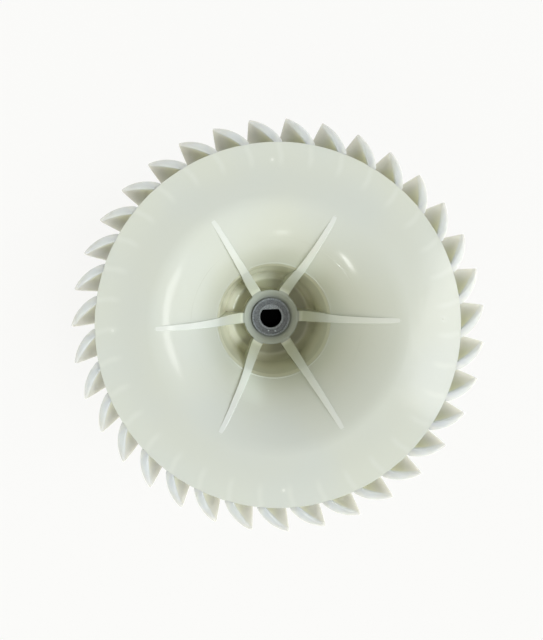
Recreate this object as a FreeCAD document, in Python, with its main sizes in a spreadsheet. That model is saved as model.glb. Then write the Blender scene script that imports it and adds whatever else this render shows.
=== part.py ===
import FreeCAD, Part
import os
import re
import Sketcher

# A tumble dryer's centrifugal fan wheel, moulded in one piece of natural white polypropylene
# around a cast metal bush that takes the motor's D-shaped shaft. The wheel stands on its front
# (intake) ring with its back disc up: Z is the wheel's axis and z = 0 is the ring's lower face.
# Depths are measured down from the disc's back face, heights up from z = 0.

SIZES = [
    ("wheel_height", 72.0, "front ring's lower face to the disc's back face"),
    ("wall_thick", 2.5, "wall of the disc, the cone and the well"),
    ("disc_radius", 84.5, "outer edge of the back disc"),
    ("bell_radius", 61.0, "where the flat disc starts to bend down into the cone"),
    ("bell_round", 18.0, "radius of that first bend"),
    ("bell_angle", 20.8, "slope at which the first bend hands over to the cone"),
    ("cone_depth", 21.6, "depth of the cone's inner end"),
    ("step_width", 2.0, "steep step between the cone and the well's mouth: its width"),
    ("step_drop", 3.8, "that step's drop"),
    ("well_taper", 1.1, "how much wider the well is at its mouth than at its foot"),
    ("well_round", 7.0, "round between the well's wall and floor"),
    ("well_floor_width", 3.6, "flat part of the well's floor round the hub"),
    ("hub_height", 9.5, "hub's flat top above the well's floor"),
    ("hub_wall", 5.0, "plastic round the bush's head"),
    ("hub_spread", 0.6, "how much wider the hub is at its foot"),
    ("hub_edge", 0.8, "round on the hub's outer edge"),
    ("hub_bevel", 1.9, "width of the bevel from the hub's flat top down to the bush"),
    ("nose_clearance", 2.2, "closed nose of the hub above the surface that the wheel stands on"),
    ("nose_wall", 3.0, "plastic under the bush, at the nose's end"),
    ("nose_side", 3.2, "plastic round the bush's head, in the nose"),
    ("nose_round", 3.0, "round on the nose's end"),
    ("rib_count", 6, "ribs between the hub and the cone"),
    ("rib_stop", 3.5, "rib's outer end, in from where the disc starts to bend"),
    ("rib_thick", 2.5, "rib at the level of the disc's back face"),
    ("rib_draft", 2.5, "draft on each side of a rib, in degrees"),
    ("rib_hub_drop", 2.3, "rib's top edge below the hub's flat top, where they meet"),
    ("rib_bend_out", 0.4, "point where the rib's top edge changes bends, out from the well's mouth"),
    ("rib_bend_down", 0.9, "that point's depth below the cone's inner end"),
    ("rib_outer_round", 42.0, "bulging outer bend of the rib's top edge"),
    ("rib_inner_round", 74.0, "hollow inner bend of the rib's top edge"),
    ("blade_count", 35, "blades round the wheel"),
    ("blade_phase", 3.0, "angle from the first rib to the first blade's tip, in degrees"),
    ("blade_inset", 11.5, "blade's inner end, in from the disc's edge"),
    ("blade_overhang", 10.7, "blade's tip, out from the disc's edge"),
    ("tip_step", 0.75, "how far the tip's round reaches in"),
    ("tip_sweep", 0.5, "angle that the tip's round takes up"),
    ("back_sweep", 9.5, "bulging side: angle from its root to the tip"),
    ("back_knee_inset", 2.1, "bulging side: where its tight bend starts, in from the disc's edge"),
    ("back_turn_outset", 1.7, "bulging side: where its tight bend ends, out from the disc's edge"),
    ("back_turn_sweep", 8.57, "bulging side: angle from that end to the tip"),
    ("back_round", 20.8, "long bend of the bulging side"),
    ("front_sweep", 8.15, "hollow side: angle from its root to the tip"),
    ("front_knee_inset", 5.05, "hollow side: where its tight bend starts, in from the disc's edge"),
    ("front_turn_inset", 1.16, "hollow side: where its tight bend ends, in from the disc's edge"),
    ("front_turn_sweep", 7.18, "hollow side: angle from that end to the tip"),
    ("front_round", 39.5, "long bend of the hollow side"),
    ("knee_round", 6.0, "tight bend of both sides"),
    ("ring_clearance", 0.5, "front ring's inner edge, out from the disc's edge for the mould"),
    ("ring_lip", 0.8, "front ring's outer edge, out from the blades' tips"),
    ("ring_thick", 3.0, "front ring's height"),
    ("shaft_radius", 6.4, "round part of the bush's D-shaped hole"),
    ("shaft_flat_cut", 1.9, "how far the hole's flat comes in from the round"),
    ("bush_wall", 4.9, "metal round the hole in the bush's head"),
    ("bush_length", 22.0, "whole bush"),
    ("bush_head_height", 5.0, "round head of the bush"),
    ("bush_shoulder", 0.9, "six-sided shank's corners, in from the round head"),
    ("bush_sink", 1.3, "bush's face below the hub's flat top"),
    ("bush_rim", 1.0, "width of the raised rim on the bush's face"),
    ("bush_recess", 0.5, "depth of the face inside that rim"),
    ("bush_collar", 1.1, "width of the raised collar round the hole"),
]

DERIVED = [
    ("bush_radius", "shaft_radius + bush_wall"),
    ("bush_corner", "bush_radius - bush_shoulder"),
    ("shaft_flat", "shaft_radius - shaft_flat_cut"),
    ("shaft_half_flat", "sqrt(shaft_radius ^ 2 - shaft_flat ^ 2)"),
    ("bush_foot_height", "nose_clearance + nose_wall"),
    ("bush_top_height", "bush_foot_height + bush_length"),
    ("head_foot_height", "bush_top_height - bush_head_height"),
    ("hub_top_height", "bush_top_height + bush_sink"),
    ("well_floor_height", "hub_top_height - hub_height"),
    ("nose_radius", "bush_radius + nose_side"),
    ("hub_radius", "bush_radius + hub_wall"),
    ("hub_foot_radius", "hub_radius + hub_spread"),
    ("well_floor_radius", "hub_foot_radius + well_floor_width"),
    ("well_radius", "well_floor_radius + well_round"),
    ("mouth_radius", "well_radius + well_taper"),
    ("cone_end_radius", "mouth_radius + step_width"),
    ("bell_end_radius", "bell_radius - bell_round * sin(bell_angle)"),
    ("bell_end_depth", "bell_round * (1 - cos(bell_angle))"),
    ("cone_run", "bell_end_radius - cone_end_radius"),
    ("cone_fall", "cone_depth - bell_end_depth"),
    ("cone_lift", "cone_fall * cos(bell_angle) - cone_run * sin(bell_angle)"),
    ("cone_round", "(cone_run ^ 2 + cone_fall ^ 2) / (2 * cone_lift)"),
    ("cone_angle", "2 * atan(cone_fall / cone_run) / 1 deg - bell_angle"),
    ("cone_centre_radius", "bell_end_radius + cone_round * sin(bell_angle)"),
    ("cone_centre_depth", "bell_end_depth + cone_round * cos(bell_angle)"),
    ("rib_reach", "bell_radius - rib_stop"),
    ("rib_hub_height", "hub_top_height - rib_hub_drop"),
    ("rib_bend_radius", "mouth_radius + rib_bend_out"),
    ("rib_bend_depth", "cone_depth + rib_bend_down"),
    ("rib_foot_half", "rib_thick / 2 + wheel_height * tan(rib_draft)"),
    ("blade_inner_radius", "disc_radius - blade_inset"),
    ("blade_tip_radius", "disc_radius + blade_overhang"),
    ("tip_round", "sqrt((tip_step ^ 2 + (blade_tip_radius * sin(tip_sweep)) ^ 2) / 2)"),
    ("ring_inner_radius", "disc_radius + ring_clearance"),
    ("ring_outer_radius", "blade_tip_radius + ring_lip"),
]

doc = FreeCAD.newDocument("fan_wheel")
sheet = doc.addObject("Spreadsheet::Sheet", "Sizes")
for row, (size_name, size, meaning) in enumerate(SIZES, start=1):
    sheet.set(f"A{row}", size_name)
    sheet.set(f"B{row}", str(size))
    sheet.set(f"C{row}", meaning)
    sheet.setAlias(f"B{row}", size_name)
for row, (size_name, formula) in enumerate(DERIVED, start=len(SIZES) + 1):
    sheet.set(f"A{row}", size_name)
    sheet.set(f"B{row}", "=" + formula)
    sheet.setAlias(f"B{row}", size_name)
doc.recompute()


def bound(formula):
    """The formula with each size's name pointing at its cell of the sheet."""
    return re.sub(r"[a-z]+(_[a-z]+)+", lambda name: "Sizes." + name.group(), formula)


def value(formula):
    return float(sheet.evalExpression(bound(formula)))


def origin_part(body, role):
    """The body's own plane or axis that plays this role."""
    return next(part for part in body.Origin.OriginFeatures if part.Role == role)


def hold(sketch, constraint, formula):
    """Adds a sized constraint and binds its size to the formula."""
    sketch.addConstraint(constraint)
    sketch.setExpression(f"Constraints[{sketch.ConstraintCount - 1}]", bound(formula))


def draw_side(sketch, start, finish, bend):
    """Adds a line, or an arc where bend gives a radius. Returns which ends of the new piece are
    its start and finish, because an arc's own first end is always the one before it goes left."""
    if not bend:
        sketch.addGeometry(Part.LineSegment(start, finish))
        return 1, 2
    turns_right = bend.startswith("-")
    radius = value(bend.lstrip("-"))
    chord = finish - start
    left = FreeCAD.Vector(-chord.y, chord.x, 0).normalize()
    rise = (radius ** 2 - (chord.Length / 2) ** 2) ** 0.5
    centre = (start + finish) * 0.5 + left * (-rise if turns_right else rise)
    circle = Part.Circle(centre, FreeCAD.Vector(0, 0, 1), radius)
    first, last = (finish, start) if turns_right else (start, finish)
    sketch.addGeometry(Part.ArcOfCircle(circle, circle.parameter(first), circle.parameter(last)))
    return (2, 1) if turns_right else (1, 2)


def draw_outline(body, name, plane, corners, bends):
    """A closed sketch through the corners, each a pair of formulas. Side i runs from corner i to
    the next one: a line, or an arc where bends gives its radius. A radius given with a minus has
    its centre to the right of the way, any other to the left."""
    sketch = body.newObject("Sketcher::SketchObject", name)
    sketch.AttachmentSupport = (origin_part(body, plane), [""])
    sketch.MapMode = "FlatFace"
    points = [FreeCAD.Vector(value(across), value(up), 0) for across, up in corners]
    ends = [
        draw_side(sketch, start, finish, bends.get(side))
        for side, (start, finish) in enumerate(zip(points, points[1:] + points[:1]))
    ]
    for side, (own, following) in enumerate(zip(ends, ends[1:] + ends[:1])):
        next_side = (side + 1) % len(ends)
        sketch.addConstraint(
            Sketcher.Constraint("Coincident", side, own[1], next_side, following[0])
        )
    for side, (across, up) in enumerate(corners):
        start_end = ends[side][0]
        for direction, formula, axis in (("DistanceX", across, -2), ("DistanceY", up, -1)):
            if formula == "0":
                sketch.addConstraint(Sketcher.Constraint("PointOnObject", side, start_end, axis))
            else:
                size = Sketcher.Constraint(direction, -1, 1, side, start_end, value(formula))
                hold(sketch, size, formula)
    for side, bend in bends.items():
        radius = bend.lstrip("-")
        hold(sketch, Sketcher.Constraint("Radius", side, value(radius)), radius)
    return sketch


def spin(body, kind, name, sketch):
    """A full turn of the sketch about the wheel's axis, added or cut away."""
    feature = body.newObject(kind, name)
    feature.Profile = sketch
    feature.ReferenceAxis = (sketch, ["V_Axis"])
    feature.Angle = 360
    return feature


def pad(body, name, sketch, length):
    feature = body.newObject("PartDesign::Pad", name)
    feature.Profile = sketch
    feature.setExpression("Length", bound(length))
    return feature


def pocket_up(body, name, sketch, length):
    """Cuts the sketch upwards, and makes sure that something was cut."""
    doc.recompute()
    volume_before = body.Shape.Volume
    feature = body.newObject("PartDesign::Pocket", name)
    feature.Profile = sketch
    feature.Type = "Length"
    feature.Reversed = True
    feature.setExpression("Length", bound(length))
    doc.recompute()
    if body.Shape.Volume >= volume_before:
        raise SystemExit(f"{name} cuts nothing.")
    return feature


def repeat_round(body, name, feature, count):
    """Copies of the feature evenly round the wheel's axis."""
    pattern = body.newObject("PartDesign::PolarPattern", name)
    pattern.Originals = [feature]
    pattern.Axis = (origin_part(body, "Z_Axis"), [""])
    pattern.Angle = 360
    pattern.setExpression("Occurrences", bound(count))
    body.Tip = pattern


def shell(inset):
    """The surface of the disc, cone and well, from the disc's edge in to the well's floor, moved
    into the wall by inset. Returns its corners and those of its sides that are bends."""
    corners = [
        ("disc_radius", f"wheel_height - {inset}"),
        ("bell_radius", f"wheel_height - {inset}"),
        (
            f"bell_end_radius + {inset} * sin(bell_angle)",
            f"wheel_height - bell_end_depth - {inset} * cos(bell_angle)",
        ),
        (
            f"cone_centre_radius - (cone_round - {inset}) * sin(cone_angle)",
            f"wheel_height - cone_centre_depth + (cone_round - {inset}) * cos(cone_angle)",
        ),
        (f"mouth_radius + {inset}", "wheel_height - cone_depth - step_drop"),
        (f"well_radius + {inset}", "well_floor_height + well_round"),
        ("well_floor_radius", f"well_floor_height - {inset}"),
    ]
    bends = {1: f"bell_round - {inset}", 2: f"cone_round - {inset}", 5: f"-(well_round + {inset})"}
    return corners, bends


def reversed_way(corners, bends, first_side):
    """The same run of corners walked backwards, its sides numbered from first_side on."""
    last = first_side + len(corners) - 2
    turned = {
        last - side: bend[1:] if bend.startswith("-") else "-" + bend
        for side, bend in bends.items()
    }
    return corners[::-1], turned


def draw_shank(body, name):
    """The bush's six-sided shank, drawn at the height of its foot."""
    beside = "bush_corner * cos(60)"
    ahead = "bush_corner * sin(60)"
    corners = [
        ("bush_corner", "0"),
        (beside, ahead),
        (f"-{beside}", ahead),
        ("-bush_corner", "0"),
        (f"-{beside}", f"-{ahead}"),
        (beside, f"-{ahead}"),
    ]
    sketch = draw_outline(body, name, "XY_Plane", corners, {})
    sketch.setExpression(".AttachmentOffset.Base.z", bound("bush_foot_height"))
    return sketch


def add_ribs(body):
    """Ribs that thicken with depth by the mould's draft. They start as full-height bars. Those are
    cut off inside the hub, down to a curved top edge, and up to the middle of the wall."""
    section = [
        ("-rib_thick / 2", "wheel_height"),
        ("-rib_foot_half", "0"),
        ("rib_foot_half", "0"),
        ("rib_thick / 2", "wheel_height"),
    ]
    bar = pad(body, "rib_bar", draw_outline(body, "rib_section", "YZ_Plane", section, {}), "rib_reach")
    repeat_round(body, "rib_bars", bar, "rib_count")

    above = [
        ("0", "-wall_thick"),
        ("nose_radius", "-wall_thick"),
        ("nose_radius", "rib_hub_height"),
        ("hub_radius", "rib_hub_height"),
        ("rib_bend_radius", "wheel_height - rib_bend_depth"),
        ("rib_reach", "wheel_height"),
        ("bell_radius", "wheel_height + rib_stop"),
        ("0", "wheel_height + rib_stop"),
    ]
    above_bends = {3: "rib_inner_round", 4: "-rib_outer_round"}
    top_edge = draw_outline(body, "rib_top_edge", "XZ_Plane", above, above_bends)
    spin(body, "PartDesign::Groove", "rib_top_cut", top_edge)

    below, below_bends = shell("wall_thick / 2")
    below += [
        ("0", "well_floor_height - wall_thick / 2"),
        ("0", "-wall_thick"),
        ("disc_radius", "-wall_thick"),
    ]
    foot_edge = draw_outline(body, "rib_foot_edge", "XZ_Plane", below, below_bends)
    spin(body, "PartDesign::Groove", "rib_foot_cut", foot_edge)


def add_web(body):
    """The disc, cone, well and hub with its closed nose, as one turned outline."""
    back, bends = shell("0")
    hub = [
        ("hub_foot_radius", "well_floor_height"),
        ("hub_radius", "hub_top_height - hub_edge"),
        ("hub_radius - hub_edge", "hub_top_height"),
        ("bush_radius + hub_bevel", "hub_top_height"),
        ("bush_radius", "bush_top_height"),
        ("bush_radius", "head_foot_height"),
        ("0", "head_foot_height"),
        ("0", "nose_clearance"),
        ("nose_radius - nose_round", "nose_clearance"),
        ("nose_radius", "nose_clearance + nose_round"),
        ("nose_radius", "well_floor_height - wall_thick"),
    ]
    bends[len(back) + hub.index(("hub_radius", "hub_top_height - hub_edge"))] = "hub_edge"
    bends[len(back) + hub.index(("nose_radius - nose_round", "nose_clearance"))] = "nose_round"
    front, front_bends = reversed_way(*shell("wall_thick"), first_side=len(back) + len(hub))
    bends.update(front_bends)
    outline = draw_outline(body, "web_outline", "XZ_Plane", back + hub + front, bends)
    spin(body, "PartDesign::Revolution", "web", outline)


def add_blades(body):
    """Blades with a thin straight root under the disc and a crescent-shaped outer part. Each
    corner is a radius and an angle from the blade's tip."""
    polar = [
        ("blade_inner_radius", "-back_sweep"),
        ("(disc_radius - back_knee_inset)", "-back_sweep"),
        ("(disc_radius + back_turn_outset)", "-back_turn_sweep"),
        ("blade_tip_radius", "0"),
        ("(blade_tip_radius - tip_step)", "tip_sweep"),
        ("(disc_radius - front_turn_inset)", "-front_turn_sweep"),
        ("(disc_radius - front_knee_inset)", "-front_sweep"),
        ("blade_inner_radius", "-front_sweep"),
    ]
    corners = [
        (f"{radius} * cos(blade_phase + {angle})", f"{radius} * sin(blade_phase + {angle})")
        for radius, angle in polar
    ]
    bends = {1: "knee_round", 2: "back_round", 3: "tip_round", 4: "-front_round", 5: "-knee_round"}
    outline = draw_outline(body, "blade_outline", "XY_Plane", corners, bends)
    blade = pad(body, "blade", outline, "wheel_height")
    repeat_round(body, "blades", blade, "blade_count")


def add_front_ring(body):
    corners = [
        ("ring_inner_radius", "0"),
        ("ring_outer_radius", "0"),
        ("ring_outer_radius", "ring_thick"),
        ("ring_inner_radius", "ring_thick"),
    ]
    outline = draw_outline(body, "ring_outline", "XZ_Plane", corners, {})
    body.Tip = spin(body, "PartDesign::Revolution", "front_ring", outline)


def make_wheel():
    body = doc.addObject("PartDesign::Body", "blower_wheel")
    body.Label = "blower_wheel"
    body.AllowCompound = True
    add_ribs(body)
    add_web(body)
    pocket_up(body, "bush_socket", draw_shank(body, "socket_outline"), "bush_length")
    add_blades(body)
    add_front_ring(body)
    return body


def make_bush():
    """The cast bush: a round head with a raised rim and collar, and a six-sided shank that the
    plastic grips, with the D-shaped hole right through."""
    body = doc.addObject("PartDesign::Body", "hub_insert")
    body.Label = "hub_insert"
    head = [
        ("0", "head_foot_height"),
        ("bush_radius", "head_foot_height"),
        ("bush_radius", "bush_top_height"),
        ("bush_radius - bush_rim", "bush_top_height"),
        ("bush_radius - bush_rim", "bush_top_height - bush_recess"),
        ("shaft_radius + bush_collar", "bush_top_height - bush_recess"),
        ("shaft_radius + bush_collar", "bush_top_height"),
        ("0", "bush_top_height"),
    ]
    head_outline = draw_outline(body, "head_outline", "XZ_Plane", head, {})
    spin(body, "PartDesign::Revolution", "head", head_outline)
    pad(body, "shank", draw_shank(body, "shank_outline"), "bush_length - bush_head_height")

    hole = [
        ("shaft_half_flat", "shaft_flat"),
        ("-shaft_half_flat", "shaft_flat"),
        ("0", "-shaft_radius"),
    ]
    hole_bends = {1: "shaft_radius", 2: "shaft_radius"}
    hole_outline = draw_outline(body, "hole_outline", "XY_Plane", hole, hole_bends)
    hole_outline.setExpression(".AttachmentOffset.Base.z", bound("bush_foot_height"))
    body.Tip = pocket_up(body, "shaft_hole", hole_outline, "bush_length")
    return body


sub_parts = [make_wheel(), make_bush()]
doc.recompute()

for item in doc.Objects:
    if "Invalid" in item.State or "Error" in item.State:
        raise SystemExit(f"{item.Label} failed: {item.State}")
for sub_part in sub_parts:
    shape = sub_part.Shape
    if shape.isNull() or not shape.isValid() or len(shape.Solids) != 1:
        raise SystemExit(f"{sub_part.Label} is not one valid solid.")

os.makedirs("parts", exist_ok=True)
for sub_part in sub_parts:
    sub_part.Shape.exportStep(f"parts/{sub_part.Label}.step")
    print(sub_part.Label, round(sub_part.Shape.Volume), "cubic mm")
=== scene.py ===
"""The looks of a tumble dryer's fan wheel, standing on its front ring and seen from its back.

Lengths are in millimetres until put_mesh turns them into metres. The wheel's axis is Z, and
angles are in degrees, anticlockwise from +X, which runs along one of the ribs.
"""

import bmesh
import bpy
import numpy as np
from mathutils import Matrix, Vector


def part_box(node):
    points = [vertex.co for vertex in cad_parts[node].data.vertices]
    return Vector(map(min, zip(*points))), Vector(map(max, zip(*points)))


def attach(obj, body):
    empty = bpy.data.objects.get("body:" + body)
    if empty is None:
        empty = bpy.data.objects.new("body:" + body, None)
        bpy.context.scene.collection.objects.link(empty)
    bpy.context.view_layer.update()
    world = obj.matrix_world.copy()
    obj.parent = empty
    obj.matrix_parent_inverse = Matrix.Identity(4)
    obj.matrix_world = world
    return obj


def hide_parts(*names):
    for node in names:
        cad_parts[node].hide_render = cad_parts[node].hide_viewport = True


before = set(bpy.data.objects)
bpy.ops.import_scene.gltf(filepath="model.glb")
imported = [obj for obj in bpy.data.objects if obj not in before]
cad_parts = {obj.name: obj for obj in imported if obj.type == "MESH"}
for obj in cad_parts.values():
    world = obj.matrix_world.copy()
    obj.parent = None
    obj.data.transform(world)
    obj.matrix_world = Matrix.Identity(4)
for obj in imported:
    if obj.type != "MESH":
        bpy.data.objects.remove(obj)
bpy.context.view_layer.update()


# The wheel's body: back disc, bell-mouthed cone, well and hub, all one wall. It is injection
# moulded in natural white polypropylene, and the hub is moulded round a metal bush.

MM = 0.001
PIP_HEIGHT = 0.12
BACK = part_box("blower_wheel")[1].z / MM - PIP_HEIGHT
WALL = 2.5
DISC_RADIUS = 84.5
DISC_EDGE_ROUND = 0.3
DISC_EDGE_BAND = 0.4
BELL_CENTRE = (61.0, BACK - 18.0)
BELL_ROUND = 18.0
BELL_SLOPE = 20.8
CONE_CENTRE = (71.27, BACK - 45.01)
CONE_ROUND = 46.9
CONE_END_SLOPE = 60.0
LIP_HOLLOW = (30.26, BACK - 21.335)
LIP_HOLLOW_ROUND = 0.45
LIP_CENTRE = (30.48, BACK - 22.156)
LIP_ROUND = 0.4
LIP_SLOPE = 15.0
LIP_END_SLOPE = 72.0
MOUTH = (29.3, BACK - 25.2)
MOUTH_ROUND_CENTRE = (MOUTH[0] + 0.4, MOUTH[1] - 0.4)
MOUTH_ROUND = 0.5
WELL_RADIUS = 27.5
WELL_FLOOR_RADIUS = 21.2
WELL_ROUND = WELL_RADIUS - WELL_FLOOR_RADIUS
WELL_FLOOR = BACK - 53.0
HUB_RADIUS = 16.3
HUB_FOOT_RADIUS = 16.9
HUB_FOOT_ROUND = 0.6
HUB_TOP = BACK - 43.5
HUB_EDGE_ROUND = 0.7
HUB_SLOPE = 36.0
BUSH_RADIUS = 11.3
BUSH_TOP = BACK - 44.8
BUSH_FOOT = 5.2
NOSE_FOOT = 2.2
NOSE_RADIUS = 14.5
NOSE_ROUND = 3.0
WITNESS_RADIUS = 41.6
WITNESS_DEPTH = 0.035
WITNESS_HALF_WIDTH = 0.16
WITNESS_SPAN = 0.6
COLUMNS = 280
CREASE = 32.0
MERGE_DISTANCE = 0.002


def swing(centre, radius, first, last, steps=8):
    """Points on an arc about a centre: each lies at the radius from it, at an angle that goes
    evenly from first to last, in degrees to the left of straight up. A negative radius puts
    them on the centre's other side, which makes a hollow."""
    turn = np.radians(np.linspace(first, last, steps))
    return np.array(centre) + radius * np.stack([-np.sin(turn), np.cos(turn)], axis=-1)


def cone_slopes():
    """The cone's slopes from its top to its foot, with close ones added where the two halves of
    the mould meet: a point's slope is the arcsine of its way in from the arc's centre."""
    way_in = (CONE_CENTRE[0] - WITNESS_RADIUS) / CONE_ROUND
    close = np.degrees(np.arcsin(way_in)) + np.linspace(-WITNESS_SPAN, WITNESS_SPAN, 13)
    return np.sort(np.concatenate([np.linspace(BELL_SLOPE, CONE_END_SLOPE, 44)[1:], close]))


def wheel_outline():
    """The turned outline as radius and height: the hidden front side from the nose out to the
    disc's edge, then the back side in to the foot of the bush's seat. Both sides of the wall are
    arcs about the same centres, a wall's thickness apart."""
    slopes = np.radians(cone_slopes())
    way_out = CONE_CENTRE[0] - CONE_ROUND * np.sin(slopes)
    groove = WITNESS_DEPTH * np.exp(-((way_out - WITNESS_RADIUS) / WITNESS_HALF_WIDTH) ** 2)
    reach = (CONE_ROUND - groove)[:, None]
    back_cone = np.array(CONE_CENTRE) + reach * np.stack([-np.sin(slopes), np.cos(slopes)], -1)
    hub_round = (HUB_RADIUS - HUB_EDGE_ROUND, HUB_TOP - HUB_EDGE_ROUND)
    hub_edge = swing(hub_round, HUB_EDGE_ROUND, -90, HUB_SLOPE, 12)
    bush_side = hub_edge[-1, 1] - (hub_edge[-1, 0] - BUSH_RADIUS) * np.tan(np.radians(HUB_SLOPE))
    hub_foot = (HUB_FOOT_RADIUS + HUB_FOOT_ROUND, WELL_FLOOR + HUB_FOOT_ROUND)
    well_foot = (WELL_FLOOR_RADIUS, WELL_FLOOR + WELL_ROUND)
    edge = DISC_RADIUS - DISC_EDGE_ROUND
    front = [
        [(0, NOSE_FOOT)],
        swing((NOSE_RADIUS - NOSE_ROUND, NOSE_FOOT + NOSE_ROUND), NOSE_ROUND, -180, -90),
        [(NOSE_RADIUS, WELL_FLOOR - WALL)],
        swing(well_foot, WELL_ROUND + WALL, -180, -90, 14),
        [(MOUTH[0] + WALL, MOUTH[1])],
        swing(CONE_CENTRE, CONE_ROUND - WALL, CONE_END_SLOPE, BELL_SLOPE, 24),
        swing(BELL_CENTRE, BELL_ROUND - WALL, BELL_SLOPE, 0),
        swing((edge, BACK - WALL + DISC_EDGE_ROUND), DISC_EDGE_ROUND, -180, -90, 4),
    ]
    back = [
        swing((edge, BACK - DISC_EDGE_ROUND), DISC_EDGE_ROUND, -90, 0, 6),
        np.linspace((edge - DISC_EDGE_BAND, BACK), (BELL_CENTRE[0], BACK), 20),
        swing(BELL_CENTRE, BELL_ROUND, 0, BELL_SLOPE, 16)[1:],
        back_cone,
        swing(LIP_HOLLOW, -LIP_HOLLOW_ROUND, CONE_END_SLOPE, LIP_SLOPE, 6)[1:-1],
        swing(LIP_CENTRE, LIP_ROUND, LIP_SLOPE, LIP_END_SLOPE, 8),
        swing(MOUTH_ROUND_CENTRE, -MOUTH_ROUND, -110, -92, 4),
        swing(well_foot, WELL_ROUND, -90, -180, 20),
        swing(hub_foot, HUB_FOOT_ROUND, 180, 90, 5),
        hub_edge,
        np.linspace(hub_edge[-1], (BUSH_RADIUS, bush_side), 8)[1:],
        [(BUSH_RADIUS, BUSH_FOOT)],
        [(0, BUSH_FOOT)],
    ]
    return np.concatenate(front), np.concatenate(back)


def turned(outline, columns=COLUMNS):
    """An outline of radii and heights carried once round the wheel's axis."""
    turn = np.linspace(0, 2 * np.pi, columns, endpoint=False)
    radius, height = outline[:, :1], outline[:, 1:]
    return np.stack([radius * np.cos(turn), radius * np.sin(turn), height + 0 * turn], axis=-1)


def repeated(points, angles):
    """Copies of a grid of points, each turned about the wheel's axis by one of the angles."""
    turn = np.radians(angles).reshape((-1,) + (1,) * (points.ndim - 1))
    x, y, z = np.moveaxis(points, -1, 0)
    return turned_by(turn, x, y, z)


def turned_by(turn, x, y, z):
    """Points turned about the wheel's axis: the plan turns, and the height stays."""
    across = x * np.cos(turn) - y * np.sin(turn)
    along = x * np.sin(turn) + y * np.cos(turn)
    return np.stack([across, along, z + 0 * across], axis=-1)


def put_mesh(name, points, closed_rows=False, closed_columns=False):
    """An object made from grids of points, an array of copies by rows by columns by three. Each
    face joins two neighbours of one row to the same two of the next, and a closed direction also
    joins its last points to its first. Points that fall together are merged."""
    number = np.arange(points[..., 0].size).reshape(points.shape[:3])
    if closed_rows:
        number = np.concatenate([number, number[:, :1]], axis=1)
    if closed_columns:
        number = np.concatenate([number, number[:, :, :1]], axis=2)
    here, above = number[:, :-1], number[:, 1:]
    faces = np.stack([here[..., :-1], here[..., 1:], above[..., 1:], above[..., :-1]], axis=-1)
    mesh = bpy.data.meshes.new(name)
    mesh.from_pydata((points.reshape(-1, 3) * MM).tolist(), [], faces.reshape(-1, 4).tolist())
    shape = bmesh.new()
    shape.from_mesh(mesh)
    bmesh.ops.remove_doubles(shape, verts=shape.verts, dist=MERGE_DISTANCE * MM)
    bmesh.ops.recalc_face_normals(shape, faces=shape.faces)
    shape.to_mesh(mesh)
    shape.free()
    mesh.shade_smooth()
    mesh.set_sharp_from_angle(angle=np.radians(CREASE))
    piece = bpy.data.objects.new(name, mesh)
    bpy.context.scene.collection.objects.link(piece)
    even = piece.modifiers.new("even_shading", "WEIGHTED_NORMAL")
    even.keep_sharp = True
    return piece


def finish_piece(piece, material, node):
    """Gives a piece its material and its place on the wheel, and hides the solid that it stands
    for.
    """
    piece.data.materials.append(material)
    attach(piece, "root")
    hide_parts(node)


def new_material(name):
    """An empty material's node tree, and its shader."""
    material = bpy.data.materials.new(name)
    material.use_nodes = True
    return material, material.node_tree, material.node_tree.nodes["Principled BSDF"]


def put_node(tree, kind, inputs, **settings):
    """A node with its settings, each input given a plain value or the output of another node."""
    made = tree.nodes.new("ShaderNode" + kind)
    for setting, value in settings.items():
        setattr(made, setting, value)
    for socket, given in inputs.items():
        if isinstance(given, bpy.types.NodeSocket):
            tree.links.new(given, made.inputs[socket])
        else:
            made.inputs[socket].default_value = given
    return made


def maths(tree, operation, *values):
    """The result of one sum on values or the outputs of other nodes."""
    return put_node(tree, "Math", dict(enumerate(values)), operation=operation).outputs[0]


def product(tree, result, *others):
    """Several values times each other."""
    for other in others:
        result = maths(tree, "MULTIPLY", result, other)
    return result


def fade(tree, value, start, end, low=0.0, high=1.0):
    """Goes smoothly from low to high as the value goes from start to end."""
    inputs = {0: value, 1: start, 2: end, 3: low, 4: high}
    return put_node(tree, "MapRange", inputs, interpolation_type="SMOOTHSTEP").outputs[0]


def fade_mm(tree, value, start, end, low=0.0, high=1.0):
    """The same for a length, with start and end in millimetres."""
    return fade(tree, value, start * MM, end * MM, low, high)


def mixed(tree, factor, first, second):
    """A colour that goes from the first to the second as the factor goes from 0 to 1."""
    inputs = {0: factor, 6: first, 7: second}
    return put_node(tree, "Mix", inputs, data_type="RGBA").outputs[2]


def tinted(tree, colour, tint):
    """A colour times a tint, which is a colour or a plain share."""
    inputs = {0: colour, 1: tint}
    return put_node(tree, "VectorMath", inputs, operation="MULTIPLY").outputs[0]


def noise(tree, place, scale, detail=2.0, rough=0.5):
    """Smooth random values round a half, over spots that get smaller with the scale."""
    inputs = {"Vector": place, "Scale": scale, "Detail": detail, "Roughness": rough}
    return put_node(tree, "TexNoise", inputs).outputs[0]


def part_place(tree):
    """A point's place on the part, its three coordinates, its place in plan and its radius."""
    place = put_node(tree, "TexCoord", {}).outputs["Object"]
    axes = put_node(tree, "SeparateXYZ", {0: place}).outputs
    flat = put_node(tree, "CombineXYZ", {0: axes[0], 1: axes[1]}).outputs[0]
    radius = put_node(tree, "VectorMath", {0: flat}, operation="LENGTH").outputs["Value"]
    return place, axes, flat, radius


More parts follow.
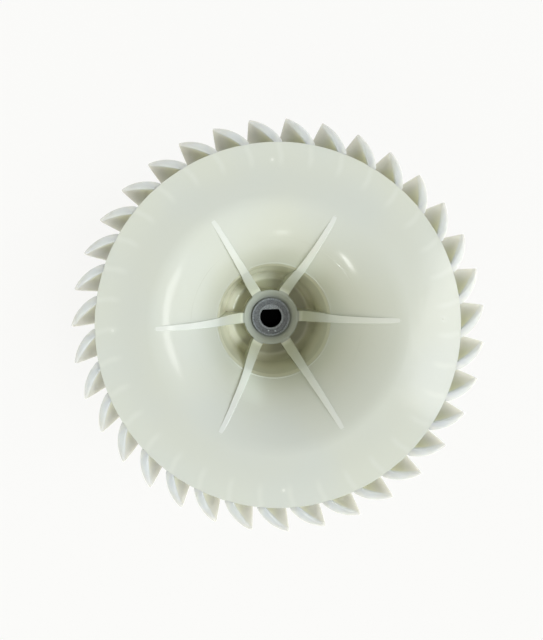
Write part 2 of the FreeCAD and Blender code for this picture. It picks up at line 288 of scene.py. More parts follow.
def over_roots(tree, axes, radius):
    """1 over the line of each blade's root, down to 0 beside it. The turns round the wheel, counted
    in blades, have a fraction that says how far off the nearest line is. That times the pitch and
    the radius is the way aside from the line."""
    angle = maths(tree, "DEGREES", maths(tree, "ARCTAN2", axes[1], axes[0]))
    bend = fade_mm(tree, radius, *ROOT_BEND_FADE, 0.0, ROOT_BEND)
    straight = maths(tree, "SUBTRACT", angle, BLADE_PHASE + ROOT_SWEEP)
    turn = maths(tree, "SUBTRACT", straight, bend)
    pitch = 360 / BLADE_COUNT
    turns = maths(tree, "ADD", maths(tree, "DIVIDE", turn, pitch), BLADE_COUNT + 0.5)
    off = maths(tree, "ABSOLUTE", maths(tree, "SUBTRACT", maths(tree, "FRACT", turns), 0.5))
    aside = product(tree, off, np.radians(pitch), radius)
    along = fade_mm(tree, radius, *STREAK_START)
    return product(tree, fade_mm(tree, aside, STREAK_REACH, 0.0), along)


def near_gates(tree, axes):
    """1 at the four gate pips, down to 0 round them. The larger and the smaller of a point's two
    ways out in plan fold the four pips onto one."""
    first, second = maths(tree, "ABSOLUTE", axes[0]), maths(tree, "ABSOLUTE", axes[1])
    larger, smaller = maths(tree, "MAXIMUM", first, second), maths(tree, "MINIMUM", first, second)
    folded = put_node(tree, "CombineXYZ", {0: larger, 1: smaller}).outputs[0]
    ends = {0: folded, 1: (GATE_RADIUS * MM, 0, 0)}
    gap = put_node(tree, "VectorMath", ends, operation="DISTANCE").outputs["Value"]
    return fade_mm(tree, gap, *GATE_HIGHLIGHT_REACH)


def on_witness_line(tree, flat, radius, height):
    """1 on a thin circle at the witness line's radius, down to 0 beside it, below the cone's foot
    and where a noise breaks it."""
    aside = maths(tree, "ABSOLUTE", maths(tree, "SUBTRACT", radius, WITNESS_RADIUS * MM))
    line = fade_mm(tree, aside, LINE_REACH, 0.0)
    broken = fade(tree, noise(tree, flat, LINE_BREAK_SCALE), *LINE_BREAKS)
    return product(tree, line, broken, fade_mm(tree, height, *LINE_HEIGHTS))


def moulded_plastic(name, depths, glow=0.0, outer=None):
    """Natural polypropylene, clouded, with light and shade painted into its colour by depth below
    the back face: pale at the back face, darker and greener down the cone, the well and between
    the blades as painted shade, and painted lighter on the well's wall and foot and the blades'
    walls as painted light. Over each blade's root it has a painted light streak, and the hub's
    face is greyer where the metal bush shows through and darker as painted shade. Each of the
    depths is how far below the back face a colour is reached. Outer holds the two colours of a
    blade's tip, at the back face and below it."""
    material, tree, shader = new_material(name)
    place, axes, flat, radius = part_place(tree)
    height = axes[2]

    colour = depths[0][1]
    if outer:
        colour = mixed(tree, fade_mm(tree, radius, *RIM_FADE), colour, outer[0])
    for (start, _), (finish, deeper) in zip(depths, depths[1:]):
        if outer:
            deeper = mixed(tree, fade_mm(tree, radius, *TIP_FADE), deeper, outer[1])
        reached = fade_mm(tree, height, BACK - start, BACK - finish)
        colour = mixed(tree, reached, colour, deeper)
    clouds = fade(tree, noise(tree, place, CLOUD_SCALE, 1.0), *NOISE_MIDDLE)
    colour = tinted(tree, colour, mixed(tree, clouds, CLOUD_WARM, CLOUD_COOL))
    # Towards the disc's edge the colour is painted lighter: painted light, for the light that comes
    # in through the blades.
    colour = tinted(tree, colour, fade_mm(tree, radius, *OUTWARD_LIGHT_FADE, *OUTWARD_LIGHT_SHARES))

    # Each blade's root is a thin wall under the disc, and above it the disc is painted a lighter
    # streak: painted light, for the light that the root sends back up through the plastic.
    at_back = fade_mm(tree, height, BACK - BACK_SKIN[0], BACK - BACK_SKIN[1])
    root_light = product(tree, over_roots(tree, axes, radius), at_back, ROOT_LIGHT_SHARE)
    colour = mixed(tree, root_light, colour, LIGHTEST)

    # Round the four places where it was let into the mould the plastic is painted lighter: a
    # painted highlight.
    gate_highlight = product(tree, near_gates(tree, axes), at_back, GATE_HIGHLIGHT_SHARE)
    colour = mixed(tree, gate_highlight, colour, LIGHTEST)

    # The mould's two halves meet in a thin broken line on the cone.
    line = product(tree, on_witness_line(tree, flat, radius, height), LINE_SHARE)
    colour = mixed(tree, line, colour, LINE)

    # The hub's face is painted greyer, for the bush showing through it, and darker, as painted
    # shade, darkest round the bush. The hole's floor is painted black: painted shade.
    colour = mixed(tree, fade_mm(tree, radius, *HUB_FADE), colour, HUB_GREY_AND_SHADE)
    near_bush = fade_mm(tree, radius, *METAL_FADE, 0.0, METAL_SHARE)
    colour = mixed(tree, near_bush, colour, METAL_THROUGH_AND_SHADE)
    colour = mixed(tree, fade_mm(tree, radius, *HOLE_SHADE_FADE), colour, BLACK)

    tree.links.new(colour, shader.inputs["Base Color"])
    rough = fade(tree, noise(tree, place, ROUGH_SCALE, 4.0), *NOISE_MIDDLE, *ROUGHNESS)
    polish = fade_mm(tree, height, BACK - POLISH_DEPTHS[0], BACK - POLISH_DEPTHS[1], POLISH, 1.0)
    tree.links.new(product(tree, rough, polish), shader.inputs["Roughness"])
    shader.inputs["IOR"].default_value = PLASTIC_IOR
    shader.inputs["Subsurface Weight"].default_value = glow
    shader.inputs["Subsurface Radius"].default_value = GLOW_COLOURS
    shader.inputs["Subsurface Scale"].default_value = GLOW_REACH

    waves = product(tree, noise(tree, place, WAVE_SCALE), WAVE_HEIGHT)
    grain = product(tree, noise(tree, place, GRAIN_SCALE), GRAIN_HEIGHT)
    relief = maths(tree, "ADD", waves, grain)
    bump = put_node(tree, "Bump", {"Strength": 1.0, "Distance": MM, "Height": relief})
    tree.links.new(bump.outputs[0], shader.inputs["Normal"])
    return material


# Light and shade painted by depth below the back face. PALE is the plastic's own colour. The cone
# and the well's mouth are painted darker and greener, as shade. The well's wall and foot are
# painted lighter, as light that falls there, and still green, as shade. The well's floor is painted
# darkest, as shade.
PALE = (0.66, 0.70, 0.665, 1)
CONE_SHADE = (0.59, 0.62, 0.555, 1)
WELL_MOUTH_SHADE = (0.64, 0.65, 0.52, 1)
WELL_SIDE_LIGHT_AND_SHADE = (0.752, 0.745, 0.583, 1)
WELL_FOOT_LIGHT_AND_SHADE = (0.855, 0.845, 0.677, 1)
WELL_FLOOR_SHADE = (0.484, 0.48, 0.31, 1)
WEB_LIGHT_AND_SHADE_DEPTHS = [
    (0, PALE), (21.7, CONE_SHADE), (23, WELL_MOUTH_SHADE), (27, WELL_MOUTH_SHADE), (40, WELL_SIDE_LIGHT_AND_SHADE),
    (48, WELL_SIDE_LIGHT_AND_SHADE), (51.5, WELL_FOOT_LIGHT_AND_SHADE), (52.4, WELL_FOOT_LIGHT_AND_SHADE), (53, WELL_FLOOR_SHADE),
]
# Of a pair of lengths, the first is where a change of colour starts and the second where it ends.
NOISE_MIDDLE = (0.3, 0.7)
CLOUD_WARM = (1.012, 1.008, 0.985, 1)
CLOUD_COOL = (0.988, 0.994, 1.012, 1)
CLOUD_SCALE = 24.0
OUTWARD_LIGHT_FADE = (66.0, 83.0)
OUTWARD_LIGHT_SHARES = (0.985, 1.03)
RIM_FADE = (89.0, 95.5)
TIP_FADE = (86.0, 93.0)
LIGHTEST = (0.75, 0.79, 0.76, 1)
BACK_SKIN = (1.0, 0.3)
BLADE_COUNT = 35
BLADE_PHASE = 3.2
ROOT_SWEEP = -8.83
ROOT_BEND = 0.93
ROOT_BEND_FADE = (77.5, 84.5)
STREAK_START = (71.5, 77.5)
STREAK_REACH = 2.3
ROOT_LIGHT_SHARE = 0.5
GATE_RADIUS = 76.2
GATE_HIGHLIGHT_REACH = (2.0, 0.5)
GATE_HIGHLIGHT_SHARE = 0.45
LINE = (0.33, 0.34, 0.27, 1)
LINE_REACH = 0.25
LINE_BREAK_SCALE = 28.0
LINE_BREAKS = (0.52, 0.66)
LINE_HEIGHTS = (50.0, 55.0)
LINE_SHARE = 0.15
HUB_GREY_AND_SHADE = (0.43, 0.455, 0.39, 1)
HUB_FADE = (17.0, 16.5)
METAL_THROUGH_AND_SHADE = (0.23, 0.24, 0.22, 1)
METAL_FADE = (14.6, 11.3)
METAL_SHARE = 0.6
BLACK = (0.004, 0.004, 0.004, 1)
HOLE_SHADE_FADE = (10.9, 10.8)
ROUGHNESS = (0.10, 0.15)
ROUGH_SCALE = 120.0
POLISH = 0.5
POLISH_DEPTHS = (40.0, 25.0)
PLASTIC_IOR = 1.49
GLOW_COLOURS = (1.0, 1.0, 0.88)
GLOW_REACH = 0.009
WAVE_SCALE = 95.0
WAVE_HEIGHT = 0.10
GRAIN_SCALE = 1400.0
GRAIN_HEIGHT = 0.006

front_side, back_side = wheel_outline()
wheel_points = turned(np.concatenate([front_side, back_side]))
plastic = moulded_plastic("natural_polypropylene", WEB_LIGHT_AND_SHADE_DEPTHS)
wheel_web = put_mesh("wheel_web", wheel_points[None], closed_columns=True)
finish_piece(wheel_web, plastic, "blower_wheel")


# Six ribs carry the load from the hub to the cone. They are moulded with the wheel, thicker at
# the foot so that the mould lets go of them, and their top edges sweep down in two bends.

RIB_COUNT = 6
RIB_THICK = 2.5
RIB_DRAFT = 2.5
RIB_END = 57.5
RIB_START = 14.8
RIB_BEND = (29.0, BACK - 22.5)
RIB_HUB_HEIGHT = HUB_TOP - 2.3
RIB_OUTER_ROUND = 42.0
RIB_INNER_ROUND = 74.0
RIB_EDGE_ROUND = 0.4
RIB_FOOT_SINK = 1.2
RIB_END_DROP = 0.33
RIB_FILLET = 2.2
RIB_FILLET_REACH = 1.2 * RIB_FILLET
# The ribs are painted lighter than the back: painted light on their raised tops. Down by the hub
# they are painted greener: painted shade.
RIB_LIGHT = (0.76, 0.80, 0.79, 1)
RIB_MIDDLE_LIGHT = (0.75, 0.79, 0.76, 1)
RIB_SHADE = (0.70, 0.72, 0.58, 1)
RIB_LIGHT_AND_SHADE_DEPTHS = [(0, RIB_LIGHT), (18, RIB_MIDDLE_LIGHT), (44, RIB_SHADE)]


def arc(start, finish, radius, steps=24):
    """Points from start to finish along an arc of the radius. Its centre lies to the left of the
    way, or to the right for a negative radius, on the line that halves the chord squarely."""
    start, finish = np.array(start, float), np.array(finish, float)
    reach = np.hypot(*(finish - start)) / 2
    along = (finish - start) / (2 * reach)
    outward = np.array((along[1], -along[0])) * np.sign(radius)
    spread = np.arcsin(reach / abs(radius))
    turn = np.linspace(-spread, spread, steps)[:, None]
    middle = (start + finish) / 2 - outward * np.sqrt(radius ** 2 - reach ** 2)
    return middle + abs(radius) * (outward * np.cos(turn) + along * np.sin(turn))


def rib_grid():
    """One rib along +X. Rows go along it and columns go up one side, over the top and down the
    other. A point's height is the top edge's less the round's drop, and its way out from the
    middle is half the thickness at that height less the round's inset. The first and last rows lie
    at foot height all across, which closes the two ends."""
    inner = arc((HUB_RADIUS, RIB_HUB_HEIGHT), RIB_BEND, RIB_INNER_ROUND)
    outer = arc(RIB_BEND, (RIB_END, BACK - RIB_END_DROP), -RIB_OUTER_ROUND)
    edge = np.concatenate([inner, outer[1:]])
    quarter = np.radians(np.linspace(0, 90, 5))
    outset = RIB_EDGE_ROUND * np.sin(quarter)
    drop = RIB_EDGE_ROUND * (1 - np.cos(quarter))
    straight = np.linspace(RIB_START, RIB_END - RIB_EDGE_ROUND, 90)
    way = np.concatenate([[RIB_START], straight[:-1], RIB_END - RIB_EDGE_ROUND + outset, [RIB_END]])
    top = np.interp(way, edge[:, 0], edge[:, 1])
    top += RIB_FILLET * np.clip(1 - (way - HUB_RADIUS) / RIB_FILLET_REACH, 0, 1) ** 2
    top[-1 - len(drop):-1] -= drop
    surface = back_side[back_side[:, 0] > HUB_FOOT_RADIUS][::-1]
    foot = np.interp(way, surface[:, 0], surface[:, 1]) - RIB_FOOT_SINK
    top[[0, -1]] = foot[[0, -1]]

    one_side = np.append(RIB_EDGE_ROUND - outset, 0.0)
    insets = np.concatenate([one_side[::-1], one_side])
    drops = np.append(drop, np.inf)
    drops = np.concatenate([drops[::-1], drops])
    sides = np.repeat([-1.0, 1.0], len(one_side))
    heights = np.maximum(top[:, None] - drops, foot[:, None])
    half = RIB_THICK / 2 + (BACK - heights) * np.tan(np.radians(RIB_DRAFT))
    return np.stack([way[:, None] + 0 * heights, sides * (half - insets), heights], axis=-1)


rib_angles = np.arange(RIB_COUNT) * 360 / RIB_COUNT
wheel_ribs = put_mesh("wheel_ribs", repeated(rib_grid(), rib_angles), closed_columns=True)
rib_plastic = moulded_plastic("rib_polypropylene_painted_light_and_shade", RIB_LIGHT_AND_SHADE_DEPTHS)
finish_piece(wheel_ribs, rib_plastic, "blower_wheel")


# Thirty-five blades stand round the wheel's edge and throw the air outwards. Each has a thin
# straight root under the disc and a crescent outside it, whose hollow side has a soft rolled edge.

ROOT_RADIUS = 73.0
TIP_RADIUS = 95.2
BLADE_TOP = BACK - 0.002
BLADE_FOOT = 0.15
BULGING = [(ROOT_RADIUS, -9.5), (82.4, -9.5), (86.2, -8.57), (TIP_RADIUS, 0.0)]
HOLLOW = [(ROOT_RADIUS, -8.15), (79.45, -8.15), (83.34, -7.18), (94.45, 0.5)]
KNEE_ROUND = 6.0
BULGING_ROUND = 20.8
HOLLOW_ROUND = 39.5
TIP_ROUND = 0.79
CRISP_ROUND = 0.25
CRISP_SHARE = 0.3
ROLL_SHARE = 0.6
ROLL_WIDTH = 1.4
ROLL_DROP = 1.2
LEAN = 0.62
LEAN_DEPTH = 22.0
ROOT_SINK = 0.6
ROOT_SINK_ENDS = (DISC_RADIUS - 1.3, DISC_RADIUS - 0.7)
# The blades' colours are painted light and shade: the walls below the top are painted a light
# olive, for light through the thin plastic, greener near the roots as painted shade and greyer
# towards the tips, and the crescent's outer edge is painted darker as shade.
BLADE_PALE = (0.565, 0.605, 0.65, 1)
BLADE_DEEP_LIGHT_AND_SHADE = (0.725, 0.735, 0.61, 1)
BLADE_TIP = (0.555, 0.56, 0.565, 1)
BLADE_RIM_SHADE = (0.47, 0.485, 0.52, 1)
BLADE_LIGHT_AND_SHADE_DEPTHS = [(0.5, BLADE_PALE), (2.0, BLADE_DEEP_LIGHT_AND_SHADE)]
BLADE_GLOW = 1.0


def polar(pairs):
    """Radii and angles turned into places in plan."""
    turn = np.radians(pairs[..., 1])
    return pairs[..., :1] * np.stack([np.cos(turn), np.sin(turn)], axis=-1)


def smooth(value, start, end):
    """Goes from 0 to 1 as the value goes from start to end, with a level start and end."""
    share = np.clip((value - start) / (end - start), 0, 1)
    return share ** 2 * (3 - 2 * share)


def blade_side(corners, long_round, tip_middle, tip_bend):
    """One side of a blade in plan, from its root out to the middle of the tip's round."""
    root, knee, turn, tip = polar(np.array(corners))
    return np.concatenate([
        np.linspace(root, knee, 5)[:-1],
        arc(knee, turn, KNEE_ROUND, 8)[:-1],
        arc(turn, tip, long_round, 22)[:-1],
        arc(tip, tip_middle, tip_bend, 5),
    ])


def blade_grid():
    """One blade with its tip on +X. Each row is a section from the bulging side to the hollow one:
    up the first, round a crisp edge, over the top, down a quarter of an ellipse that grows towards
    the tip, and down the second. Under the disc the root's top is sunk. The lower it is, the more
    the blade's outer part leans forward."""
    tips = polar(np.array([BULGING[-1], HOLLOW[-1]]))
    tip_middle = arc(tips[0], tips[1], TIP_ROUND, 9)[4]
    bulging = blade_side(BULGING, BULGING_ROUND, tip_middle, TIP_ROUND)
    hollow = blade_side(HOLLOW, HOLLOW_ROUND, tip_middle, -TIP_ROUND)
    bulging, hollow = (np.concatenate([line[:1], line]) for line in (bulging, hollow))
    thick = np.hypot(*(hollow - bulging).T)[:, None]
    radius = np.hypot(*((hollow + bulging) / 2).T)[:, None]

    outer = np.clip((radius - DISC_RADIUS) / (TIP_RADIUS - DISC_RADIUS), 0, 1)
    crisp = np.minimum(CRISP_ROUND, CRISP_SHARE * thick)
    roll = np.minimum(ROLL_WIDTH, ROLL_SHARE * thick) * np.sqrt(outer)
    roll_drop = ROLL_DROP * outer
    quarter = np.radians(np.linspace(0, 90, 8))
    levels = np.array([1.0, 0.75, 0.5, 0.3, 0.16, 0.08])
    crisp_up = quarter[::-2]
    across = np.concatenate([
        np.zeros((len(thick), len(levels))),
        crisp * (1 - np.sin(crisp_up)),
        thick - roll * (1 - np.sin(quarter)),
        thick + 0 * levels,
    ], axis=1)
    sides = np.broadcast_to(BACK - levels * (BACK - BLADE_FOOT), (len(thick), len(levels)))
    top = BLADE_TOP - ROOT_SINK * (1 - smooth(radius, *ROOT_SINK_ENDS))
    heights = np.concatenate([
        sides,
        top - crisp * (1 - np.cos(crisp_up)),
        top - roll_drop * (1 - np.cos(quarter)),
        sides[:, ::-1],
    ], axis=1)
    heights[0] = BLADE_FOOT
    toward = (hollow - bulging) / np.maximum(thick, 1e-9)
    plan = bulging[:, None] + across[..., None] * toward[:, None]
    lean = np.radians(LEAN) * outer * (1 - np.exp((heights - BACK) / LEAN_DEPTH))
    return turned_by(lean, plan[..., 0], plan[..., 1], heights)


blade_angles = BLADE_PHASE + np.arange(BLADE_COUNT) * 360 / BLADE_COUNT
wheel_blades = put_mesh("wheel_blades", repeated(blade_grid(), blade_angles), closed_columns=True)
blade_ends = (BLADE_RIM_SHADE, BLADE_TIP)
blade_plastic = moulded_plastic("blade_polypropylene_painted_light_and_shade", BLADE_LIGHT_AND_SHADE_DEPTHS, BLADE_GLOW, blade_ends)
finish_piece(wheel_blades, blade_plastic, "blower_wheel")


# The front ring joins the blades' far ends, and the wheel stands on it. It is moulded with them,
# in the same plastic, with small rounds on its four corners.

RING_INNER = 85.0
RING_OUTER = 95.97
RING_THICK = 3.0
RING_ROUND = 0.5


def ring_outline():
    """The ring's section: four quarter rounds joined by straight sides."""
    low, high = RING_ROUND, RING_THICK - RING_ROUND
    near, far = RING_INNER + RING_ROUND, RING_OUTER - RING_ROUND
    corners = [((far, low), -180), ((far, high), -90), ((near, high), 0), ((near, low), 90)]
    return np.concatenate([swing(c, RING_ROUND, first, first + 90, 5) for c, first in corners])


wheel_front_ring = put_mesh(
    "wheel_front_ring", turned(ring_outline())[None], closed_rows=True, closed_columns=True
)
finish_piece(wheel_front_ring, blade_plastic, "blower_wheel")


# Four small pips on the disc, of the same plastic. They are what is left of the gates through
# which it was let into the mould, nearly level with the face.

GATE_HIGHLIGHT_PALE = (0.86, 0.89, 0.87, 1)
GATE_ANGLES = np.array([0.0, 90.0, 180.0, 270.0])
PIP_RADIUS = 0.75
DOME_START = 0.02
DOME_FOOT = 0.3


def dome_grid(place, ground, size, tall):
    """A low dome on level ground, its middle on +X: its height falls off as the cosine of the way
    out. The last two rows close it under the ground."""
    out = np.array([0, 0.2, 0.4, 0.6, 0.8, 1, 1, 0])[:, None]
    turn = np.linspace(0, 2 * np.pi, 20, endpoint=False)
    height = ground - DOME_START + tall * np.cos(out * np.pi / 2) + 0 * turn
    height[-2:] = ground - DOME_FOOT
    x, y = place + size * out * np.cos(turn), size * out * np.sin(turn)
    return np.stack([x, y, height], axis=-1)


pips = repeated(dome_grid(GATE_RADIUS, BACK, PIP_RADIUS, PIP_HEIGHT), GATE_ANGLES)
gate_pips = put_mesh("gate_pips", pips, closed_columns=True)
# The pips are painted paler than the disc: a painted highlight.
gate_plastic = moulded_plastic("pip_polypropylene_painted_highlight", [(0, GATE_HIGHLIGHT_PALE), (1, LIGHTEST)])
finish_piece(gate_pips, gate_plastic, "blower_wheel")


# The bush that takes the motor's D-shaped shaft. It is cast in a grey zinc and aluminium alloy,
# with a raised rim and collar and two cast dots on its face, and the plastic is moulded round it
# and grips its six-sided shank.

SHAFT_RADIUS = 6.4
SHAFT_FLAT = 4.5
SHANK_CORNER = 10.4
HEAD_FOOT = BUSH_TOP - 5.0
BUSH_ROUND = 0.25
RIM_INNER = 10.3
FACE_ROUND = 0.15
RECESS = 0.5
COLLAR_RADIUS = 7.5
HOLE_CHAMFER = 0.2
SHANK_LIFT = 0.01
SHADE_FLOOR_LIFT = 0.1
FLAT_POINTS = 31
ROUND_POINTS = 121
DOT_RADIUS = 0.55
DOT_HEIGHT = 0.3
DOTS = [(8.41, -100.8), (8.85, -74.3)]


def bush_grid():
    """Loops round the bush's axis, from the middle of its foot out over the shank and the head and
    down the hole to a floor of its own, just above the plastic's, which stands for shade and is
    painted black. A loop is a circle, a hexagon or a D: the radius of a flat side is its distance
    from the axis over the cosine of the angle to its middle."""
    corner = np.degrees(np.arcsin(SHAFT_FLAT / SHAFT_RADIUS))
    along_flat = np.linspace(corner, 180 - corner, FLAT_POINTS)
    along_round = np.linspace(180 - corner, 360 + corner, ROUND_POINTS)[1:-1]
    turn = np.radians(np.concatenate([along_flat, along_round]))
    circle = np.ones_like(turn)
    hexagon = SHANK_CORNER * np.cos(np.pi / 6) / np.cos(turn % (np.pi / 3) - np.pi / 6)
    hole = np.minimum(SHAFT_RADIUS, SHAFT_FLAT / np.maximum(np.sin(turn), 1e-6))
    hole = np.where(np.sin(turn) > 0, hole, SHAFT_RADIUS)
    recess, low_edge, high_edge = BUSH_TOP - RECESS, BUSH_TOP - BUSH_ROUND, BUSH_TOP - FACE_ROUND
    head = np.concatenate([
        [(BUSH_RADIUS, HEAD_FOOT)],
        swing((BUSH_RADIUS - BUSH_ROUND, low_edge), BUSH_ROUND, -90, 0, 5),
        swing((RIM_INNER + FACE_ROUND, high_edge), FACE_ROUND, 0, 90, 4),
        [(RIM_INNER, recess), (COLLAR_RADIUS, recess)],
        swing((COLLAR_RADIUS - FACE_ROUND, high_edge), FACE_ROUND, -90, 0, 4),
    ])
    foot, shade_floor = BUSH_FOOT + SHANK_LIFT, BUSH_FOOT + SHADE_FLOOR_LIFT
    loops = [(0 * circle, foot), (hexagon, foot), (hexagon, HEAD_FOOT)]
    loops += [(radius * circle, height) for radius, height in head]
    loops += [(hole + HOLE_CHAMFER, BUSH_TOP), (hole, BUSH_TOP - HOLE_CHAMFER)]
    loops += [(hole, shade_floor), (0 * circle, shade_floor)]
    radius = np.array([loop for loop, _ in loops])
    height = np.array([level for _, level in loops])[:, None] + 0 * turn
    return np.stack([radius * np.cos(turn), radius * np.sin(turn), height], axis=-1)


def cast_metal(lightness=1.0):
    """Grey cast alloy: a dull, slightly pitted skin, painted darker in the recess as shade and
    lighter on the raised rim and collar as light, both times the given lightness, and painted
    black down the hole as shade."""
    material, tree, shader = new_material("cast_alloy")
    place, axes, _, radius = part_place(tree)
    height = axes[2]
    patches = fade(tree, noise(tree, place, PATCH_SCALE, 4.0, PIT_BREAKUP), *PATCH_MIDDLE)
    colour = mixed(tree, patches, CAST_DARK, CAST_LIGHT)
    light_and_shade_shares = (RECESS_SHADE_SHARE * lightness, RAISED_LIGHT_SHARE * lightness)
    colour = tinted(tree, colour, fade_mm(tree, height, BUSH_TOP - RECESS, BUSH_TOP, *light_and_shade_shares))
    depth = fade_mm(tree, height, BUSH_TOP - HOLE_SHADE[0], BUSH_TOP - HOLE_SHADE[1])
    down_hole_shade = product(tree, depth, fade_mm(tree, radius, *HOLE_SHADE_RADII))
    colour = mixed(tree, down_hole_shade, colour, BLACK)
    tree.links.new(colour, shader.inputs["Base Color"])
    tree.links.new(fade(tree, down_hole_shade, 0.0, 1.0, SKIN_METAL, 1.0), shader.inputs["Metallic"])
    rough = fade(tree, noise(tree, place, SKIN_SCALE, 3.0), *NOISE_MIDDLE, *SKIN_ROUGHNESS)
    tree.links.new(rough, shader.inputs["Roughness"])
    pits = noise(tree, place, PIT_SCALE, 4.0, PIT_BREAKUP)
    bump = put_node(tree, "Bump", {"Strength": 1.0, "Distance": PIT_DEPTH * MM, "Height": pits})
    tree.links.new(bump.outputs[0], shader.inputs["Normal"])
    return material


CAST_DARK = (0.14, 0.15, 0.155, 1)
CAST_LIGHT = (0.27, 0.29, 0.30, 1)
PATCH_SCALE = 1300.0
PATCH_MIDDLE = (0.35, 0.65)
RECESS_SHADE_SHARE = 0.6
RAISED_LIGHT_SHARE = 1.1
HOLE_SHADE = (0.3, 1.6)
HOLE_SHADE_RADII = (6.8, 6.6)
SKIN_METAL = 0.15
SKIN_SCALE = 900.0
SKIN_ROUGHNESS = (0.34, 0.52)
PIT_SCALE = 1600.0
PIT_BREAKUP = 0.65
PIT_DEPTH = 0.25
DOT_LIGHTNESS = 3.0

metal = cast_metal()
bush = put_mesh("bush", bush_grid()[None], closed_columns=True)
finish_piece(bush, metal, "hub_insert")
dots = [
    repeated(dome_grid(out, BUSH_TOP - RECESS, DOT_RADIUS, DOT_HEIGHT), [turn])
    for out, turn in DOTS
]
bush_dots = put_mesh("bush_dots", np.concatenate(dots), closed_columns=True)
# The dots are painted lighter than the rest of the bush.
finish_piece(bush_dots, cast_metal(DOT_LIGHTNESS), "hub_insert")


# The floor that the wheel stands on: a wide pale sheet. From above the camera sees it nearly
# white, with a little of the wheel's shadow near the wheel, and from below it is clear.

FLOOR_RADIUS = 4000.0
FLOOR_WHITE = (0.988, 0.988, 0.978, 1)
FLOOR_DROP = 0.02
FLOOR_COLUMNS = 96
FLOOR_PAINT = (0.80, 0.80, 0.79, 1)
FLOOR_ROUGHNESS = 0.9
SHADOW_SHARE = 0.12
SHADOW_NEAR = 0.25
SHADOW_FAR = 1.2


def backdrop_white(tree, shadow_share):
    """How much of its own white a camera, mirror or see-through ray meets: all but the share."""
    path = put_node(tree, "LightPath", {}).outputs
    mirrored = maths(tree, "MAXIMUM", path["Is Glossy Ray"], path["Is Transmission Ray"])
    seen = maths(tree, "MAXIMUM", path["Is Camera Ray"], mirrored)
    return product(tree, seen, maths(tree, "SUBTRACT", 1.0, shadow_share))


out = np.linspace(0, FLOOR_RADIUS, 9)
floor_line = np.stack([out, 0 * out - FLOOR_DROP], axis=-1)
floor = put_mesh("floor", turned(floor_line, FLOOR_COLUMNS)[None], closed_columns=True)
floor.data.flip_normals()
floor_material, tree, floor_shader = new_material("pale_floor")
floor_shader.inputs["Base Color"].default_value = FLOOR_PAINT
floor_shader.inputs["Roughness"].default_value = FLOOR_ROUGHNESS
far = part_place(tree)[3]
share = backdrop_white(tree, fade(tree, far, SHADOW_NEAR, SHADOW_FAR, SHADOW_SHARE, 0.0))
glow = put_node(tree, "Emission", {"Color": FLOOR_WHITE, "Strength": 1.0}).outputs[0]
both = put_node(tree, "MixShader", {0: share, 1: floor_shader.outputs[0], 2: glow})
clear = put_node(tree, "BsdfTransparent", {}).outputs[0]
below = put_node(tree, "NewGeometry", {}).outputs["Backfacing"]
sheet = put_node(tree, "MixShader", {0: below, 1: both.outputs[0], 2: clear})
tree.links.new(sheet.outputs[0], tree.nodes["Material Output"].inputs["Surface"])
floor.data.materials.append(floor_material)


# Studio light: a dim room that is brighter low down towards -Y, a wide soft window towards +X,
# three lamps that show as highlights, and a small strip lamp that lights the well from close by.

AIM = Vector((0, 0, 0.055))
LAMPS = {
    "right_softbox": dict(azimuth=-13, tilt=33.5, distance=3.0, width=1.4, height=0.43, power=6.8),
    "lower_left_lamp": dict(
        azimuth=-131, tilt=50, distance=0.9, width=0.15, height=0.03, power=0.34,
    ),
    "lower_lamp": dict(azimuth=-89, tilt=59, distance=0.9, width=0.10, height=0.10, power=0.1),
    "well_strip": dict(
        azimuth=-28, tilt=29.5, distance=0.070, width=0.07, height=0.006, power=0.0011,
        aim=(-0.0150, 0.0056, 0.0240), spread=34, colour=(0.78, 0.91, 1.0),
    ),
}
ROOM_COLOUR = (1.0, 0.97, 0.80, 1)
ROOM_LEVEL = 0.27
LOW_LEVEL = 1.12
LOW_SLANT = 0.6
LOW_SIDE = (-0.122, -0.993, 0)
LOW_HEIGHTS = (0.72, 0.30)
DARKEST_LEVEL = 0.05
WINDOW_COLOUR = (0.95, 0.99, 1.07, 1)
WINDOW_LEVEL = 4.1
WINDOW_SIDE = (0.716, -0.083, 0.693)
WINDOW_EDGE = 0.881


def put_lamp(
    name, azimuth, tilt, distance, width, height, power, aim=AIM, spread=180, colour=(1, 1, 1)
):
    """A lamp seen from the aim point at an azimuth, tilted from straight up, that faces it."""
    light = bpy.data.lights.new(name, "AREA")
    light.shape = "RECTANGLE"
    light.size = width
    light.size_y = height
    light.energy = power
    light.spread = np.radians(spread)
    light.color = colour
    turn, lean = np.radians(azimuth), np.radians(tilt)
    way = Vector((np.sin(lean) * np.cos(turn), np.sin(lean) * np.sin(turn), np.cos(lean)))
    lamp = bpy.data.objects.new(name, light)
    lamp.location = Vector(aim) + way * distance
    lamp.rotation_euler = way.to_track_quat("Z", "Y").to_euler()
    lamp.visible_camera = False
    bpy.context.scene.collection.objects.link(lamp)


def cosine_to(tree, look, side):
    """The cosine of the angle between where a ray looks and a side."""
    inputs = {0: look, 1: side}
    return put_node(tree, "VectorMath", inputs, operation="DOT_PRODUCT").outputs["Value"]


for lamp_name, lamp_sizes in LAMPS.items():
    put_lamp(lamp_name, **lamp_sizes)

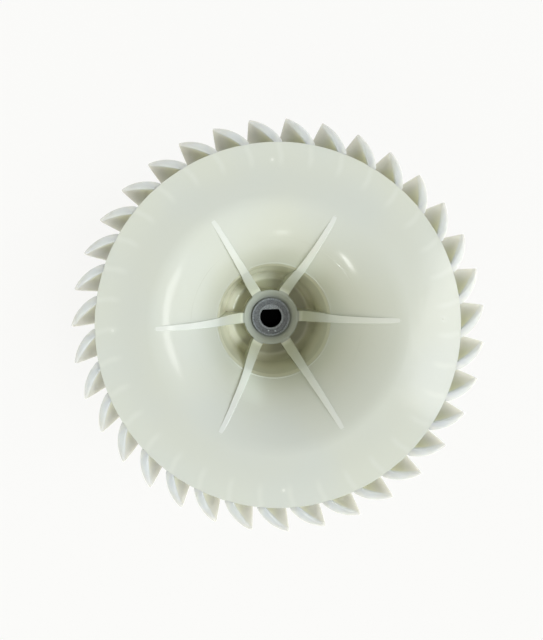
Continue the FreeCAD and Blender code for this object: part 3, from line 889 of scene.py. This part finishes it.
world = bpy.data.worlds.new("studio")
world.use_nodes = True
bpy.context.scene.world = world
tree = world.node_tree
look = put_node(tree, "TexCoord", {}).outputs["Generated"]
height = put_node(tree, "SeparateXYZ", {0: look}).outputs[2]
slant = maths(tree, "MULTIPLY_ADD", cosine_to(tree, look, LOW_SIDE), LOW_SLANT, LOW_LEVEL)
low = product(tree, fade(tree, height, *LOW_HEIGHTS), slant)
level = maths(tree, "ADD", maths(tree, "MAXIMUM", low, DARKEST_LEVEL - ROOM_LEVEL), ROOM_LEVEL)
room = put_node(tree, "Background", {"Color": ROOM_COLOUR, "Strength": level}).outputs[0]
facing = cosine_to(tree, look, WINDOW_SIDE)
level = fade(tree, facing, WINDOW_EDGE, 1.0, 0.0, WINDOW_LEVEL)
window = put_node(tree, "Background", {"Color": WINDOW_COLOUR, "Strength": level}).outputs[0]
light = put_node(tree, "AddShader", {0: room, 1: window}).outputs[0]
white = put_node(tree, "Background", {"Color": FLOOR_WHITE, "Strength": 1.0}).outputs[0]
both = put_node(tree, "MixShader", {0: backdrop_white(tree, 0.0), 1: light, 2: white})
tree.links.new(both.outputs[0], tree.nodes["World Output"].inputs["Surface"])


# The camera looks straight down on the wheel's back, from a little towards -X and +Y of its axis.
# Its lens is shifted so that the wheel stands where the photograph has it.

IMAGE_WIDTH = 543
IMAGE_HEIGHT = 640
FOCAL_PIXELS = 325.0
AXIS_PIXEL = (247.32, 289.79)
CAMERA_PLACE = (-0.01352, 0.01666, 0.22154)
CAMERA_ROLL = -2.0
CLIP_START = 0.01

camera_data = bpy.data.cameras.new("camera")
camera_data.lens = camera_data.sensor_width * FOCAL_PIXELS / IMAGE_HEIGHT
camera_data.shift_x = (IMAGE_WIDTH / 2 - AXIS_PIXEL[0]) / IMAGE_HEIGHT
camera_data.shift_y = (AXIS_PIXEL[1] - IMAGE_HEIGHT / 2) / IMAGE_HEIGHT
camera_data.clip_start = CLIP_START
camera = bpy.data.objects.new("camera", camera_data)
camera.location = CAMERA_PLACE
camera.rotation_euler = (0, 0, np.radians(CAMERA_ROLL))
bpy.context.scene.collection.objects.link(camera)
bpy.context.scene.camera = camera
bpy.context.scene.view_settings.view_transform = "Standard"

bpy.context.view_layer.update()
